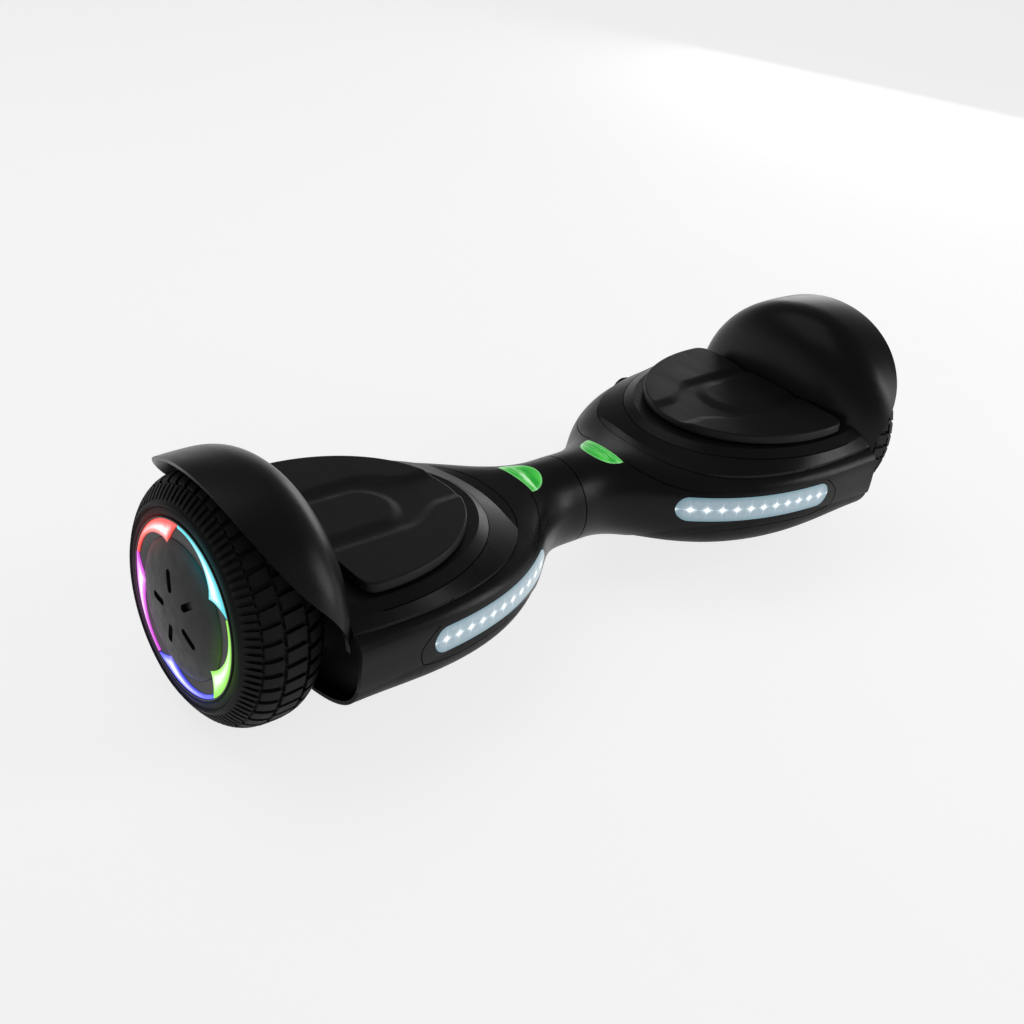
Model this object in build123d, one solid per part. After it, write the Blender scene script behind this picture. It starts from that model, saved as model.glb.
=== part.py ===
"""Self balancing hoverboard: two mirror halves hinged at the waist, a hub motor wheel on each.

X runs along the board (left half at -X), the front with the light strips faces -Y and Z is up.
The origin is on the ground under the waist. Sizes are millimetres.
"""
import os
from math import asin, cos, degrees, pi, radians, sin, sqrt, tan

from build123d import *

# ---------------------------------------------------------------- driving dimensions
BOARD_LENGTH = 616.0        # rim to rim of the hub covers
HUB_DOME = 4.5              # each hub cover bulges out by this much
BODY_WIDTH = 203.0          # front to back across the deck
WHEEL_DIAMETER = 165.0      # 6.5 inch class solid tyre
TYRE_WIDTH = 58.5
RIM_DIAMETER = 116.0        # seat of the tyre on the drum
WELL_GAP = 2.5              # between the body's end lip and the tyre
GROUND_CLEARANCE = 29.0
NECK_DIAMETER = 65.4        # round waist at the seam
PIVOT_HEIGHT = 71.4
SEAM_GAP = 1.0              # between the two halves
DECK_HEIGHT = 99.4          # shoulder of the deck
TERRACE_STEP = 4.6          # height of each of the two steps up to the pad
PAD_TOP = 116.0
PAD_TRAVEL = 1.2
SHELL_WALL = 3.0
LOWER_WALL = 2.5
SHADOW_STEP = 1.0           # the lower shell sits in by this much at the parting line
FENDER_REACH = 98.5         # front to back, from the axle
FENDER_HEIGHT = 91.5        # crown above the axle
FENDER_DEPTH = 48.0         # from the crown to the inner wall, along the board
FENDER_WALL = 3.0
TUBE_DIAMETER = 32.0        # pivot tube
TWIST_LIMIT = 10.0          # degrees each way between the halves
AXLE_DIAMETER = 16.0
MOTOR_AIR_GAP = 0.5
RUNNING_CLEARANCE = 0.05    # radial, on shafts that turn
SEAT_CLEARANCE = 0.15       # round lenses in their slots
SCREW_DIAMETER = 3.0

# ---------------------------------------------------------------- derived places
AXLE_Z = WHEEL_DIAMETER / 2
HUB_FACE = BOARD_LENGTH / 2
TYRE_OUT = HUB_FACE - 1.5
TYRE_IN = TYRE_OUT - TYRE_WIDTH
TYRE_MID = (TYRE_IN + TYRE_OUT) / 2
BODY_END = TYRE_IN - WELL_GAP
END_WALL_OUT = BODY_END - 10.0
END_WALL_IN = END_WALL_OUT - SHELL_WALL
HALF_WIDTH = BODY_WIDTH / 2
NECK_R = NECK_DIAMETER / 2
PLAN_CENTRE = BODY_END - 38.0           # centre of the oval deck outlines
RIM_Z = DECK_HEIGHT + 2 * TERRACE_STEP
PAD_BASE = RIM_Z + PAD_TRAVEL + 0.4
FENDER_CROWN = TYRE_MID - 2.0
PAD_EDGE = FENDER_CROWN - FENDER_DEPTH - 1.2
RIM_R = RIM_DIAMETER / 2

# the waist-to-wheel stations of the body: share of the way out, share of the half width,
# share of the way from deck height to neck top, share of the way from neck bottom down to
# ground clearance, and how square the section is above and below its widest line
STATIONS = [
    (0.00, 0.000, 1.00, 0.00, 2.0, 2.0),
    (0.08, 0.010, 0.97, 0.02, 2.0, 2.0),
    (0.17, 0.135, 0.70, 0.22, 2.3, 2.2),
    (0.27, 0.410, 0.34, 0.62, 2.9, 2.6),
    (0.39, 0.675, 0.13, 0.96, 3.8, 3.0),
    (0.53, 0.860, 0.04, 1.10, 5.0, 3.2),
    (0.75, 0.980, 0.00, 1.10, 6.0, 3.1),
    (1.00, 1.000, 0.00, 1.00, 6.0, 2.9),
]
SECTION_POINTS = 32


def mirrored(shape):
    """The same piece on the left half."""
    return mirror(shape, about=Plane.YZ)


def rod(x0, x1, radius, z=AXLE_Z, y=0.0):
    """A round bar along the board, from x0 to x1."""
    return Pos((x0 + x1) / 2, y, z) * Rot(0, 90, 0) * Cylinder(radius, x1 - x0)


def pipe(x0, x1, outer, inner, z=AXLE_Z):
    return rod(x0, x1, outer, z) - rod(x0 - 1, x1 + 1, inner, z)


def post(x, y, z0, z1, radius):
    return Pos(x, y, (z0 + z1) / 2) * Cylinder(radius, z1 - z0)


def block(x0, x1, y0, y1, z0, z1):
    return Pos((x0 + x1) / 2, (y0 + y1) / 2, (z0 + z1) / 2) * Box(x1 - x0, y1 - y0, z1 - z0)


def group(shapes):
    """Like pieces that share one node, each still its own solid."""
    return Compound(children=[solid for shape in shapes for solid in shape.solids()])


# ---------------------------------------------------------------- body form
def rounded_square(angle, square):
    """Point on a unit outline between a circle (2) and a square (large)."""
    c, s = cos(angle), sin(angle)
    reach = (abs(c) ** square + abs(s) ** square) ** (-1 / square)
    return reach * c, reach * s


def body_section(station, inset):
    """One closed section of the body, drawn in by inset all round."""
    along, out, rise, drop, square_up, square_down = station
    x = SEAM_GAP / 2 + along * (BODY_END - SEAM_GAP / 2)
    half = NECK_R + out * (HALF_WIDTH - NECK_R) - inset
    top = DECK_HEIGHT + rise * (PIVOT_HEIGHT + NECK_R - DECK_HEIGHT) - inset
    neck_bottom = PIVOT_HEIGHT - NECK_R
    bottom = neck_bottom + drop * (GROUND_CLEARANCE - neck_bottom) + inset
    points = []
    for i in range(SECTION_POINTS):
        angle = 2 * pi * i / SECTION_POINTS
        upper = sin(angle) >= 0
        c, s = rounded_square(angle, square_up if upper else square_down)
        reach = top - PIVOT_HEIGHT if upper else PIVOT_HEIGHT - bottom
        points.append((x, half * c, PIVOT_HEIGHT + reach * s))
    return Wire([Edge.make_spline(points, periodic=True)])


def body_form(inset):
    """The body's form, which runs past both ends so that it can be trimmed there."""
    first, last = STATIONS[0], STATIONS[-1]
    before = (-0.02,) + first[1:]
    after = (1.02,) + last[1:]
    sections = [body_section(station, inset) for station in [before] + STATIONS + [after]]
    return Solid.make_loft(sections)


def oval(length, half_width, square, z, grow=0.0, count=32):
    """A closed oval outline at height z, centred on the deck."""
    points = []
    for i in range(count):
        c, s = rounded_square(2 * pi * i / count, square)
        points.append((PLAN_CENTRE + (length + grow) * c, (half_width + grow) * s, z))
    return Wire([Edge.make_spline(points, periodic=True)])


PAD_OVAL = (PLAN_CENTRE - 99.0, 0.753 * HALF_WIDTH, 2.0)
RIM_OVAL = (PAD_OVAL[0] + 3.5, PAD_OVAL[1] + 3.5, 2.0)
TERRACE_1 = (PAD_OVAL[0] + 10.0, PAD_OVAL[1] + 11.5, 2.0)
TERRACE_2 = (PAD_OVAL[0] + 31.0, PAD_OVAL[1] + 16.5, 2.3)


def stepped(lower, upper, z0, z1, inset=0.0):
    """A drafted slab between two ovals."""
    return Solid.make_loft([oval(*lower, z0, -inset), oval(*upper, z1, -inset)], ruled=True)


def deck_form(inset):
    """The steps that rise from the deck to the foot of the pad, cut off at the body's end."""
    z0 = DECK_HEIGHT - 8.0
    z1 = DECK_HEIGHT + TERRACE_STEP - inset
    z2 = RIM_Z - inset
    steps = stepped(TERRACE_2, TERRACE_1, z0 + 6.5 - inset, z1, inset)
    steps += stepped(TERRACE_1, RIM_OVAL, z1, z2, inset)
    steps += stepped(TERRACE_2, TERRACE_2, z0, z0 + 6.5 - inset, inset)
    return steps & block(0, BODY_END, -HALF_WIDTH, HALF_WIDTH, 0, PAD_TOP)


HALF_SPACE = block(SEAM_GAP / 2, BODY_END, -HALF_WIDTH - 9, HALF_WIDTH + 9, 0, PAD_TOP)
OUTER = body_form(0.0) & HALF_SPACE
INNER = body_form(SHELL_WALL)
DECK = deck_form(0.0)
DECK_INNER = deck_form(SHELL_WALL)
CABIN = (INNER + DECK_INNER) & block(SHELL_WALL, END_WALL_IN, -200, 200, 0, 200)
WELL = (INNER + DECK_INNER) & block(END_WALL_OUT, BODY_END + 1, -200, 200, 0, 200)

# the parting line climbs from under the neck and then runs level below the light strip
PARTING = [(0.155, -1.0), (0.29, 0.60), (0.45, 0.80), (0.62, 0.84), (0.78, 0.76), (1.02, 0.66)]


def parting_height(share):
    """Height of the parting line, from the neck's bottom (0) to the pivot (1)."""
    return PIVOT_HEIGHT - NECK_R + share * NECK_R


def below_parting(drop=0.0):
    points = [(a * BODY_END, parting_height(h) - drop) for a, h in PARTING]
    curve = Spline(*points)
    x_start, x_end = points[0][0], points[-1][0]
    side = make_face(Polyline(points[-1], (x_end, -5), (x_start, -5), points[0]) + curve)
    return extrude(Plane.XZ * side, 150, both=True)


BELOW = below_parting()
MOTOR_HOLE_R = AXLE_DIAMETER / 2 + 1.0

# ---------------------------------------------------------------- lights in the shell
STRIP_X0 = 0.262 * BODY_END
STRIP_X1 = 0.772 * BODY_END
STRIP_Z = PIVOT_HEIGHT + 4.4
STRIP_HEIGHT = 19.0
LENS_DEPTH = 3.0
MOON_X = 0.18 * BODY_END
MOON_R = 19.0


def strip_prism(grow):
    """The light strip's slot: a long round-ended bar that points out of the front."""
    height = STRIP_HEIGHT + 2 * grow
    length = STRIP_X1 - STRIP_X0 + 2 * grow
    outline = SlotOverall(length, height)
    centre = Pos((STRIP_X0 + STRIP_X1) / 2, 0, STRIP_Z)
    return centre * extrude(Plane.XZ * outline, 140)


def moon_prism(grow):
    """Half disc beside the waist, its flat side along the deck rim."""
    disc = post(MOON_X, 0, PIVOT_HEIGHT + 8, PAD_TOP, MOON_R + grow)
    return disc & block(0, MOON_X + grow, -40, 40, 0, PAD_TOP)


SKIN = OUTER - body_form(LENS_DEPTH)
STRIP_LENS = SKIN & strip_prism(0)
MOON_LENS = SKIN & moon_prism(0)

# ---------------------------------------------------------------- fasteners of the shells
BOSS_R = 5.0
SCREW_R = SCREW_DIAMETER / 2
HEAD_R = 3.1
HEAD_Z = GROUND_CLEARANCE + 14.0
SCREW_PLACES = [
    (0.41 * BODY_END, 0.60 * HALF_WIDTH),
    (0.64 * BODY_END, 0.75 * HALF_WIDTH),
    (0.89 * BODY_END, 0.78 * HALF_WIDTH),
]
BOSSES = [(x, side * y) for x, y in SCREW_PLACES for side in (-1, 1)]
SCREW_TOP = PIVOT_HEIGHT + 8.0


def shell_screw(x, y):
    screw = post(x, y, HEAD_Z, SCREW_TOP, SCREW_R)
    screw += post(x, y, HEAD_Z - 2.4, HEAD_Z, HEAD_R)
    return screw - post(x, y, HEAD_Z - 3, HEAD_Z - 1.2, 1.2)


# switch plungers reach down through the deck under the pad
PLUNGER_X = PLAN_CENTRE - 45.0
PLUNGER_Y = 32.0
PLUNGER_R = 7.0
PLUNGER_FOOT = DECK_HEIGHT - 6.0

# ---------------------------------------------------------------- rear controls
REAR_Z = PIVOT_HEIGHT + 5.0
BUTTON_X = 0.56 * BODY_END
BUTTON_R = 6.5
BUTTON_SEAT_Y = HALF_WIDTH - 8.5
BUTTON_PROUD = 1.4
PORT_X = 0.66 * BODY_END
PORT_Z = REAR_Z + 3.5
PORT_R = 8.0
PORT_SEAT_Y = HALF_WIDTH - 2.5
SEAT_WALL = 3.5
SEAT_DEPTH = 9.0
CAP_GAP = 0.3
CAP_THICK = 2.2
REAR_SEATS = [
    (BUTTON_X, BUTTON_SEAT_Y, REAR_Z, BUTTON_R + SEAT_CLEARANCE),
    (PORT_X, PORT_SEAT_Y, PORT_Z, PORT_R),
]
CAP_HINGE_Z = PORT_Z - PORT_R - SEAT_WALL
CAP_Y = PORT_SEAT_Y + CAP_GAP
CAP_HINGE_Y = CAP_Y + CAP_THICK / 2
CAP_PIN_R = 0.7
EAR_X = 4.3
EAR_THICK = 2.0


def rear_rod(x, y0, y1, radius, z=REAR_Z):
    return Pos(x, (y0 + y1) / 2, z) * Rot(90, 0, 0) * Cylinder(radius, y1 - y0)


def along_hinge(radius, half_length=EAR_X + EAR_THICK + 1):
    """A bar along the charging cap's hinge line."""
    bar = rod(PORT_X - half_length, PORT_X + half_length, radius, CAP_HINGE_Z)
    return Pos(0, CAP_HINGE_Y, 0) * bar


def upper_shell(rear_controls):
    shell = (OUTER + DECK) - CABIN - WELL
    if rear_controls:
        for x, seat_y, z, hole in REAR_SEATS:
            shell += rear_rod(x, seat_y - SEAT_DEPTH, seat_y, hole + SEAT_WALL, z)
            shell -= rear_rod(x, seat_y - 2 * SEAT_DEPTH, seat_y + SEAT_DEPTH, hole, z)
        for side in (-1, 1):
            x0 = PORT_X + side * (EAR_X + EAR_THICK / 2)
            ear = block(x0 - EAR_THICK / 2, x0 + EAR_THICK / 2, PORT_SEAT_Y - 4, HALF_WIDTH,
                        CAP_HINGE_Z - 1.5, CAP_HINGE_Z + 1.5)
            shell += ear - along_hinge(CAP_PIN_R + RUNNING_CLEARANCE)
    shell -= BELOW
    bosses = Part()
    for x, y in BOSSES:
        bosses += post(x, y, 20, DECK_HEIGHT, BOSS_R)
    bosses = bosses & (OUTER - BELOW)
    for x, y in BOSSES:
        bosses -= post(x, y, 20, SCREW_TOP + 1, SCREW_R)
    shell += bosses
    shell -= strip_prism(SEAT_CLEARANCE) & block(0, BODY_END, -HALF_WIDTH, -15, 0, PAD_TOP)
    shell -= moon_prism(SEAT_CLEARANCE)
    shell -= rod(-1, 20, TUBE_DIAMETER / 2 + 8.0, PIVOT_HEIGHT)
    shell -= rod(END_WALL_IN - 1, END_WALL_OUT + 1, MOTOR_HOLE_R)
    for side in (-1, 1):
        shell -= post(PLUNGER_X, side * PLUNGER_Y, 80, PAD_TOP, PLUNGER_R + 0.4)
    return largest(shell)


def largest(shape):
    """Only the main solid, without slivers that a cut may leave."""
    return max(shape.solids(), key=lambda solid: solid.volume)


def lower_shell():
    form = body_form(SHADOW_STEP) & HALF_SPACE
    hollow = body_form(SHADOW_STEP + LOWER_WALL)
    hollow = hollow & block(SHELL_WALL, END_WALL_IN, -200, 200, 0, 200)
    well = body_form(SHADOW_STEP + LOWER_WALL) & block(END_WALL_OUT, BODY_END + 1, -200, 200, 0, 200)
    shell = (form & BELOW) - hollow - well
    pillars = Part()
    for x, y in BOSSES:
        pillars += post(x, y, 20, 100, BOSS_R + 0.8)
    pillars = pillars & form & BELOW
    shell += pillars
    for x, y in BOSSES:
        shell -= post(x, y, 20, 100, SCREW_R)
        shell -= post(x, y, 20, HEAD_Z, HEAD_R + 0.6)
    return largest(shell)


def foot_pad():
    """Rubber tread with a skirt round it, cut straight beside the fender."""
    pad = stepped(RIM_OVAL, PAD_OVAL, PAD_BASE, PAD_TOP)
    pad = pad & block(0, PAD_EDGE, -HALF_WIDTH, HALF_WIDTH, 0, PAD_TOP + 1)
    corners = [e for e in pad.edges() if abs(e.center().X - PAD_EDGE) < 0.01 and abs(e.center().Y) > 40]
    pad = fillet(corners, 9.0)
    groove = stepped(PAD_OVAL, PAD_OVAL, PAD_TOP - 0.8, PAD_TOP + 1, 24.0)
    groove -= stepped(PAD_OVAL, PAD_OVAL, PAD_TOP - 2, PAD_TOP + 2, 32.0)
    groove = groove & block(0, PAD_EDGE - 14, -HALF_WIDTH, HALF_WIDTH, 0, PAD_TOP + 2)
    return largest(pad - groove)


def pad_plungers():
    return group([post(PLUNGER_X, side * PLUNGER_Y, PLUNGER_FOOT, PAD_BASE, PLUNGER_R) for side in (-1, 1)])


# ---------------------------------------------------------------- fender
FENDER_SQUARE = 2.9
TRIM = [(-0.05, -33.0), (0.077, -29.5), (0.27, -21.0), (0.51, -1.5), (0.65, 8.0), (1.03, 24.0)]


def fender_form(inset):
    """Dome over the wheel: a round profile turned about the axle, lower than it is long."""
    depth = FENDER_DEPTH - inset
    reach = FENDER_REACH - inset
    points = []
    for i in range(12):
        angle = radians(90 * i / 11)
        x = FENDER_CROWN - depth * cos(angle) ** (2 / FENDER_SQUARE)
        points.append((x, reach * sin(angle) ** (2 / FENDER_SQUARE)))
    tail = (HUB_FACE + 5, reach - 3.0)
    curve = Spline(*points, tangents=[(0, 1), (1, 0)])
    crown = Spline(points[-1], tail, tangents=[(1, 0), (1, -0.2)])
    side = make_face(curve + crown + Polyline(tail, (tail[0], 0), (points[0][0], 0)))
    dome = revolve(Plane.XZ * side, Axis.X, 360)
    return Pos(0, 0, AXLE_Z) * scale(dome, by=(1, 1, (FENDER_HEIGHT - inset) / reach))


def fender():
    dome = fender_form(0.0) - fender_form(FENDER_WALL)
    trim = [(TYRE_MID + dx, AXLE_Z + share * FENDER_HEIGHT) for share, dx in TRIM]
    curve = Spline(*trim)
    x0 = FENDER_CROWN - FENDER_DEPTH - 5
    keep = make_face(curve + Polyline(trim[-1], (x0, trim[-1][1]), (x0, trim[0][1]), trim[0]))
    dome = dome & extrude(Plane.XZ * keep, 150, both=True)
    dome -= block(0, BODY_END, -HALF_WIDTH, HALF_WIDTH, 0, DECK_HEIGHT - 12)
    return largest(dome - DECK - OUTER)


# ---------------------------------------------------------------- frame
PLATE_Z = 62.0
PLATE_THICK = 5.0
PLATE_END = END_WALL_IN - 4.0
BOSS_END = 0.24 * BODY_END
FRAME_BOSS_R = TUBE_DIAMETER / 2 + 6.0
BUSH_WALL = 2.0
LUG_WIDTH = 6.0
LUG_REACH = 6.0
STOP_SLACK = 3.0            # degrees left beside the stop lug at the limit
CLAMP_X0 = PLATE_END - 32.0
CLAMP_Y = 24.0
CLAMP_TOP = AXLE_Z + 11.0
BOLT_R = 2.5


def clamp_bolts_at():
    return [(x, side * 17.0) for x in (CLAMP_X0 + 7, PLATE_END - 7) for side in (-1, 1)]


def frame(bored):
    """Cast half frame: neck boss, ribbed plate and the saddle that takes the axle."""
    wide = 0.58 * HALF_WIDTH
    outline = Polyline(
        (BOSS_END - 14, 18), (0.41 * BODY_END, 0.46 * HALF_WIDTH), (0.52 * BODY_END, wide), (PLATE_END, wide),
        (PLATE_END, -wide), (0.52 * BODY_END, -wide),
        (0.41 * BODY_END, -0.46 * HALF_WIDTH), (BOSS_END - 14, -18),
        close=True,
    )
    cast = Pos(0, 0, PLATE_Z) * extrude(make_face(outline), PLATE_THICK)
    cast += rod(SEAM_GAP, BOSS_END, FRAME_BOSS_R, PIVOT_HEIGHT)
    for side in (-1, 1):
        y = side * (wide - 3)
        cast += block(0.53 * BODY_END, PLATE_END, y - 3, y + 3, PLATE_Z, PLATE_Z + 13)
        y = side * (FRAME_BOSS_R - 1)
        cast += block(BOSS_END - 12, CLAMP_X0 + 2, y - 2.5, y + 2.5, PLATE_Z, PLATE_Z + 11)
    cast += block(CLAMP_X0, PLATE_END, -CLAMP_Y, CLAMP_Y, PLATE_Z, AXLE_Z)
    cast -= rod(CLAMP_X0 - 1, PLATE_END + 1, AXLE_DIAMETER / 2)
    bore = TUBE_DIAMETER / 2 + (BUSH_WALL if bored else 0.0)
    cast -= rod(0, BOSS_END + 1, bore, PIVOT_HEIGHT)
    cast -= rod(BOSS_END, BOSS_END + 8, TUBE_DIAMETER / 2 + 4.5, PIVOT_HEIGHT)
    for x, y in clamp_bolts_at():
        cast -= post(x, y, PLATE_Z + 4, AXLE_Z + 1, BOLT_R)
    if bored:
        swing = TWIST_LIMIT + STOP_SLACK + degrees(asin(LUG_WIDTH / 2 / (FRAME_BOSS_R - 2)))
        notch = pipe(SEAM_GAP - 1, SEAM_GAP + LUG_REACH + 1, FRAME_BOSS_R + 1, TUBE_DIAMETER / 2 - 1,
                     PIVOT_HEIGHT)
        reach = 2 * FRAME_BOSS_R
        spread = reach * tan(radians(swing))
        wedge = make_face(Polyline((0, 0), (spread, reach), (-spread, reach), close=True))
        notch = notch & extrude(Pos(0, 0, PIVOT_HEIGHT) * (Plane.YZ * wedge), 40)
        cast -= notch
    return cast


def twist_lug():
    """Stop lug on the left frame, which sits in the notch of the right one."""
    high = FRAME_BOSS_R - 0.5
    lug = block(-8, LUG_REACH, -LUG_WIDTH / 2, LUG_WIDTH / 2, PIVOT_HEIGHT, PIVOT_HEIGHT + high)
    return lug - rod(-9, LUG_REACH + 1, TUBE_DIAMETER / 2 + 0.3, PIVOT_HEIGHT)


def axle_clamp():
    cap = block(CLAMP_X0, PLATE_END, -CLAMP_Y, CLAMP_Y, AXLE_Z, CLAMP_TOP)
    cap -= rod(CLAMP_X0 - 1, PLATE_END + 1, AXLE_DIAMETER / 2)
    for x, y in clamp_bolts_at():
        cap -= post(x, y, AXLE_Z - 1, CLAMP_TOP + 1, BOLT_R)
    return cap


def clamp_bolts():
    bolts = []
    for x, y in clamp_bolts_at():
        bolt = post(x, y, PLATE_Z + 5, CLAMP_TOP, BOLT_R) + post(x, y, CLAMP_TOP, CLAMP_TOP + 4, 4.2)
        bolts.append(bolt - post(x, y, CLAMP_TOP + 2, CLAMP_TOP + 5, 1.8))
    return group(bolts)


# ---------------------------------------------------------------- wheel
DRUM_WALL = 4.0
DRUM_IN = TYRE_IN + 3.0
DRUM_OUT = TYRE_OUT - 6.0
WEB = 4.0
MAGNET_THICK = 3.0
MAGNET_R = RIM_R - DRUM_WALL
STATOR_R = MAGNET_R - MAGNET_THICK - MOTOR_AIR_GAP
STACK_X0 = DRUM_IN + 13.0
STACK_X1 = DRUM_OUT - 15.0
BEARING_R = 16.0
BEARING_WIDTH = 9.0
COVER_X0 = DRUM_IN
COVER_THICK = 4.0
AXLE_IN = CLAMP_X0 + 2.0
AXLE_OUT = DRUM_OUT - 1.0
OUTER_BEARING = DRUM_OUT - WEB - BEARING_WIDTH + 3.0
INNER_BEARING = COVER_X0 + 0.6
HUB_R = 45.5
RING_R = RIM_R - 0.9
HUB_THICK = 4.5
COVER_SCREWS = 3
COVER_SCREW_Z = AXLE_Z + 32.0


def turned(shape, angle):
    """Turn a piece of the wheel about its axle."""
    return Pos(0, 0, AXLE_Z) * Rot(angle, 0, 0) * Pos(0, 0, -AXLE_Z) * shape


def tyre():
    """Solid rubber tyre: crowned tread, deep rounded shoulders."""
    half = TYRE_WIDTH / 2
    sag = 17.0
    points = []
    for i in range(-6, 7):
        share = i / 6
        points.append((TYRE_MID + share * half, WHEEL_DIAMETER / 2 - sag * abs(share) ** 3))
    tread = Spline(*points)
    seat = RIM_R
    side = Polyline(points[-1], (TYRE_OUT, seat + 1.5), (TYRE_OUT - 4, seat), (TYRE_IN + 3, seat),
                    (TYRE_IN, seat + 1.5), points[0])
    ring = revolve(Plane.XZ * make_face(tread + side), Axis.X, 360)
    return Pos(0, 0, AXLE_Z) * ring


def drum():
    """Motor drum: rim under the tyre, outer web and the seat of the outer bearing."""
    body = pipe(DRUM_IN, DRUM_OUT, RIM_R, RIM_R - DRUM_WALL)
    body += rod(DRUM_OUT - WEB, DRUM_OUT, RIM_R)
    body += rod(OUTER_BEARING, DRUM_OUT, BEARING_R + 5)
    body -= rod(OUTER_BEARING - 1, OUTER_BEARING + BEARING_WIDTH, BEARING_R)
    body -= rod(COVER_X0 - 1, COVER_X0 + COVER_THICK, RIM_R - DRUM_WALL + 1)
    body += pipe(DRUM_OUT, TYRE_OUT + 0.2, RIM_R, RING_R)
    for i in range(COVER_SCREWS):
        body -= turned(rod(DRUM_OUT - 3, DRUM_OUT + 1, SCREW_R, COVER_SCREW_Z), 360 / COVER_SCREWS * i)
    return body


def side_cover():
    cover = rod(COVER_X0, COVER_X0 + COVER_THICK, RIM_R - DRUM_WALL + 1)
    cover += rod(COVER_X0, INNER_BEARING + BEARING_WIDTH, BEARING_R + 5)
    cover -= rod(INNER_BEARING, INNER_BEARING + BEARING_WIDTH + 1, BEARING_R)
    cover -= rod(COVER_X0 - 1, COVER_X0 + 20, AXLE_DIAMETER / 2 + 2.0)
    return cover


def magnets():
    count = 24
    ring = pipe(STACK_X0 - 1, STACK_X1 + 1, MAGNET_R, MAGNET_R - MAGNET_THICK)
    gaps = Part()
    for i in range(count):
        cut = block(STACK_X0 + 3, STACK_X1 + 2, -0.6, 0.6, MAGNET_R - MAGNET_THICK - 1, MAGNET_R - 0.8)
        gaps += Pos(0, 0, AXLE_Z) * Rot(360 / count * i, 0, 0) * cut
    return ring - gaps


def stator():
    core = rod(STACK_X0, STACK_X1, 34)
    teeth = 18
    for i in range(teeth):
        turn = Pos(0, 0, AXLE_Z) * Rot(360 / teeth * i, 0, 0)
        core += turn * block(STACK_X0, STACK_X1, -2.4, 2.4, 30, STATOR_R - 2)
        core += turn * block(STACK_X0, STACK_X1, -6.2, 6.2, STATOR_R - 4, STATOR_R - 1.5)
        core += turn * block(STACK_X0 + 1, STACK_X1 - 1, -4.6, 4.6, 33, STATOR_R - 4)
    core = core & rod(STACK_X0, STACK_X1, STATOR_R)
    return core - rod(STACK_X0 - 1, STACK_X1 + 1, AXLE_DIAMETER / 2 + 4)


def axle():
    shaft = rod(AXLE_IN, AXLE_OUT, AXLE_DIAMETER / 2)
    shaft += rod(STACK_X0 - 2, STACK_X1 + 2, AXLE_DIAMETER / 2 + 4)
    return shaft - rod(AXLE_IN - 1, STACK_X0 - 6, 3.0)


def bearings():
    rings = []
    for x in (INNER_BEARING, OUTER_BEARING):
        ring = pipe(x, x + BEARING_WIDTH, BEARING_R, AXLE_DIAMETER / 2 + RUNNING_CLEARANCE)
        for face in (x - 1, x + BEARING_WIDTH - 1):
            ring -= pipe(face, face + 2, BEARING_R - 2.4, AXLE_DIAMETER / 2 + 2.4)
        rings.append(ring)
    return group(rings)


def hub_cover():
    """Domed cover with five radial slots."""
    rise = HUB_DOME + 1.2
    ball = (HUB_R**2 + rise**2) / (2 * rise)
    crown = HUB_FACE + HUB_DOME
    halfway = (crown - ball + sqrt(ball**2 - (HUB_R / 2) ** 2), HUB_R / 2)
    back = HUB_FACE - HUB_THICK
    dome = ThreePointArc((HUB_FACE - 1.2, HUB_R), halfway, (crown, 0))
    sides = Polyline((crown, 0), (back, 0), (back, HUB_R), (HUB_FACE - 1.2, HUB_R))
    cover = Pos(0, 0, AXLE_Z) * revolve(Plane.XZ * make_face(dome + sides), Axis.X, 360)
    for i in range(5):
        slot = block(crown - 3.2, crown + 1, -2.2, 2.2, AXLE_Z + 12, AXLE_Z + 26)
        cover -= turned(slot, 72 * i - 21.6)
    for i in range(COVER_SCREWS):
        angle = 360 / COVER_SCREWS * i
        cover -= turned(rod(HUB_FACE - 10, HUB_FACE + 1, SCREW_R, COVER_SCREW_Z), angle)
        cover -= turned(rod(HUB_FACE - 2, crown + 1, HEAD_R, COVER_SCREW_Z), angle)
    cover += pipe(DRUM_OUT, HUB_FACE - HUB_THICK, HUB_R, HUB_R - 3)
    return cover


def cover_screws():
    screws = []
    for i in range(COVER_SCREWS):
        screw = rod(DRUM_OUT - 3, HUB_FACE - 2, SCREW_R, COVER_SCREW_Z)
        screw += rod(HUB_FACE - 2, HUB_FACE - 0.4, HEAD_R, COVER_SCREW_Z)
        screws.append(turned(screw, 360 / COVER_SCREWS * i))
    return group(screws)


def light_ring():
    """Five coloured light pipes, end to end round the hub cover."""
    ring = pipe(DRUM_OUT + 2.2, HUB_FACE - 1.0, RING_R, HUB_R + 0.2)
    far = 1.5 * RIM_R
    parts = []
    for i in range(5):
        turns = [radians(72 * i + step) for step in (0, 36, 71.4)]
        rim = [(far * sin(turn), far * cos(turn)) for turn in turns]
        sector = extrude(Plane.YZ * make_face(Polyline((0, 0), *rim, close=True)), HUB_FACE + 50)
        parts.append(ring & (Pos(0, 0, AXLE_Z) * sector))
    return group(parts)


def light_board():
    board = pipe(DRUM_OUT, DRUM_OUT + 1.4, RING_R, HUB_R + 0.2)
    for i in range(20):
        board += turned(block(DRUM_OUT + 1, DRUM_OUT + 2.2, -2, 2, AXLE_Z + 49, AXLE_Z + 53), 18 * i + 9)
    return board


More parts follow.
